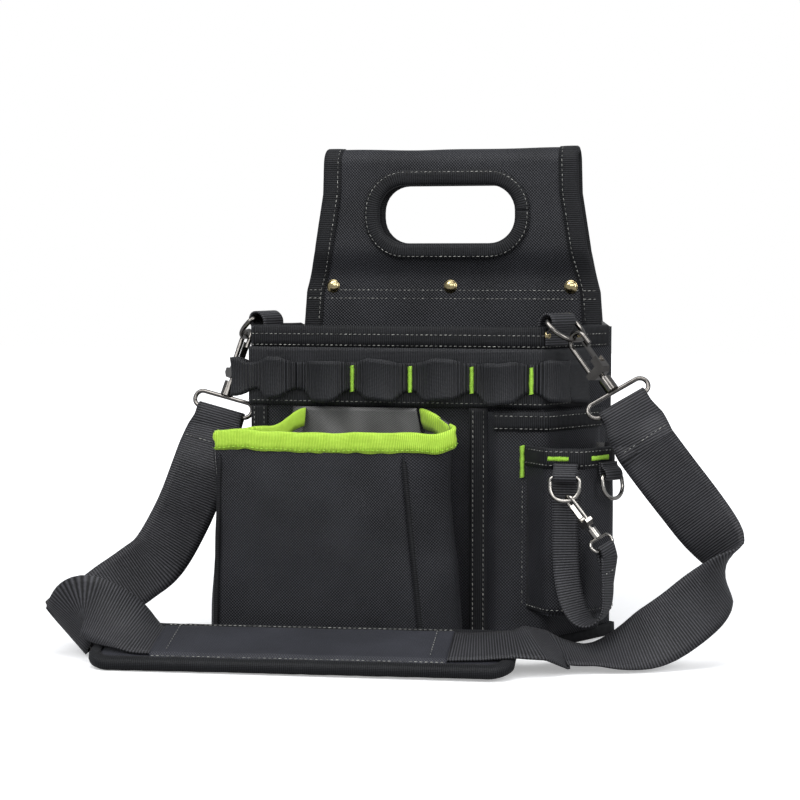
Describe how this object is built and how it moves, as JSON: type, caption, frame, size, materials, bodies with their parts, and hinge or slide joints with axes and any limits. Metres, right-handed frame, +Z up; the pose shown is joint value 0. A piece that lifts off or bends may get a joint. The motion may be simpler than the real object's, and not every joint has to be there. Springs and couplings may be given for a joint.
{
  "type": "electrician tool pouch",
  "caption": "Black woven electrician tool pouch with belt-tunnel handle, bellows pocket, tool loops, side pocket, D-rings and a clipped padded shoulder strap.",
  "frame": {"origin": "middle of the base, on the surface that the pouch stands on", "axes": "+X to the right of someone looking at the front, -Y out of the front, +Z up"},
  "size_m": [0.428, 0.2018, 0.3212],
  "materials": {
    "cloth": "matte",
    "lining_cloth": "satin",
    "green_tape": "matte",
    "green_thread": "satin",
    "black_tape": "matte",
    "black_webbing": "satin",
    "stiffener": "matte",
    "brass_rivet": "polished",
    "gunmetal": "polished",
    "bright_steel": "polished",
    "pad_foam": "matte",
    "pad_cloth": "matte"
  },
  "bodies": {
    "pouch": {"back_board": "stiffener", "back_panel": "cloth", "base_binding": "black_tape", "base_board": "stiffener", "base_panel": "cloth", "collar_binding": "black_tape", "front_panel": "cloth", "front_pocket_binding": "green_tape", "front_pocket_floor": "cloth", "front_pocket_gusset_left": "cloth", "front_pocket_gusset_right": "cloth", "front_pocket_lining": "lining_cloth", "front_pocket_panel": "cloth", "front_pocket_piping": "cloth", "hand_hole_binding_front": "black_tape", "hand_hole_binding_rear": "black_tape", "handle_edge_binding_left": "black_tape", "handle_edge_binding_right": "black_tape", "handle_panel": "cloth", "handle_rivets": "brass_rivet", "loop_band": "black_webbing", "loop_bartacks": "green_thread", "pocket_bartacks": "green_thread", "ring_tab_left": "black_webbing", "ring_tab_right": "black_webbing", "seam_tapes": "black_tape", "side_gusset_left": "cloth", "side_gusset_right": "cloth", "small_pocket_binding": "black_tape", "small_pocket_floor": "cloth", "small_pocket_panel": "cloth", "spare_ring_tab": "black_webbing", "tall_pocket_binding": "black_tape", "tall_pocket_panel": "cloth", "tape_ring_tab": "black_webbing", "tape_snap_eye": "bright_steel", "tape_strap": "black_webbing", "tool_loops": "black_webbing"},
    "shoulder_strap": {"strap_webbing": "black_webbing", "strap_return": "black_webbing", "strap_return_end": "black_webbing", "tri_glide": "gunmetal", "hook_yoke_left": "gunmetal", "hook_yoke_right": "gunmetal"},
    "hook_left": {"hook_body_left": "gunmetal"},
    "hook_right": {"hook_body_right": "gunmetal"},
    "gate_left": {"hook_gate_left": "gunmetal"},
    "gate_right": {"hook_gate_right": "gunmetal"},
    "ring_left": {"top_ring_left": "gunmetal"},
    "ring_right": {"top_ring_right": "gunmetal"},
    "pad": {"pad_base": "pad_foam", "pad_binding": "black_tape", "pad_sleeve": "pad_cloth"},
    "tape_ring_body": {"tape_ring": "bright_steel"},
    "spare_ring_body": {"spare_ring": "bright_steel"},
    "tape_snap": {"tape_snap_body": "bright_steel"},
    "tape_gate": {"tape_snap_gate": "bright_steel"}
  },
  "joints": [
    {"name": "strap_swing", "type": "hinge", "parent": "pouch", "child": "shoulder_strap", "pos_m": [0.09327, -0.03124, 0.19617], "axis": [-0.9954, 0.0954, -0.003], "range_deg": [0, 9]},
    {"name": "ring_left_lift", "type": "hinge", "parent": "pouch", "child": "ring_left", "pos_m": [-0.11732, -0.0131, 0.208], "axis": [-0.2499, -0.9683, 0], "range_deg": [-12, 20]},
    {"name": "ring_right_lift", "type": "hinge", "parent": "pouch", "child": "ring_right", "pos_m": [0.08146, -0.02457, 0.208], "axis": [0.4916, 0.8708, 0], "range_deg": [-12, 20]},
    {"name": "hook_left_swivel", "type": "hinge", "parent": "shoulder_strap", "child": "hook_left", "pos_m": [-0.12987, -0.00986, 0.19551], "axis": [-0.2504, -0.2805, -0.9266], "range_deg": [-15, 7]},
    {"name": "hook_right_swivel", "type": "hinge", "parent": "shoulder_strap", "child": "hook_right", "pos_m": [0.09327, -0.03124, 0.19617], "axis": [0.5962, -0.3307, -0.7315], "range_deg": [-15, 15]},
    {"name": "gate_left_press", "type": "hinge", "parent": "hook_left", "child": "gate_left", "pos_m": [-0.1325, -0.01833, 0.17666], "axis": [-0.6904, -0.6192, 0.374], "range_deg": [0, 20], "stiffness_Nm_per_rad": 0.002},
    {"name": "gate_right_press", "type": "hinge", "parent": "hook_right", "child": "gate_right", "pos_m": [0.10786, -0.03935, 0.1837], "axis": [-0.4885, -0.8725, -0.0038], "range_deg": [0, 20], "stiffness_Nm_per_rad": 0.002},
    {"name": "pad_slide", "type": "slide", "parent": "shoulder_strap", "child": "pad", "axis": [-0.995, -0.0995, -0.0055], "range_m": [-0.008, 0.003]},
    {"name": "tape_ring_tilt", "type": "hinge", "parent": "pouch", "child": "tape_ring_body", "pos_m": [0.09176, -0.06424, 0.1135], "axis": [0.9989, 0.0465, 0], "range_deg": [-3, 1]},
    {"name": "spare_ring_swing", "type": "hinge", "parent": "pouch", "child": "spare_ring_body", "pos_m": [0.11747, -0.04374, 0.1135], "axis": [-0.5547, -0.8321, 0], "range_deg": [-4, 60]},
    {"name": "tape_snap_swivel", "type": "hinge", "parent": "pouch", "child": "tape_snap", "pos_m": [0.09509, -0.06654, 0.09985], "axis": [0.626, -0.0997, -0.7735], "range_deg": [-7, 15]},
    {"name": "tape_gate_press", "type": "hinge", "parent": "tape_snap", "child": "tape_gate", "pos_m": [0.10276, -0.06594, 0.08795], "axis": [0.6575, 0.6009, 0.4546], "range_deg": [0, 20], "stiffness_Nm_per_rad": 0.001}
  ],
  "couplings": [
    {"joint": "ring_left_lift", "follows": "strap_swing", "ratio": 0.15},
    {"joint": "ring_right_lift", "follows": "strap_swing", "ratio": 0.15}
  ]
}
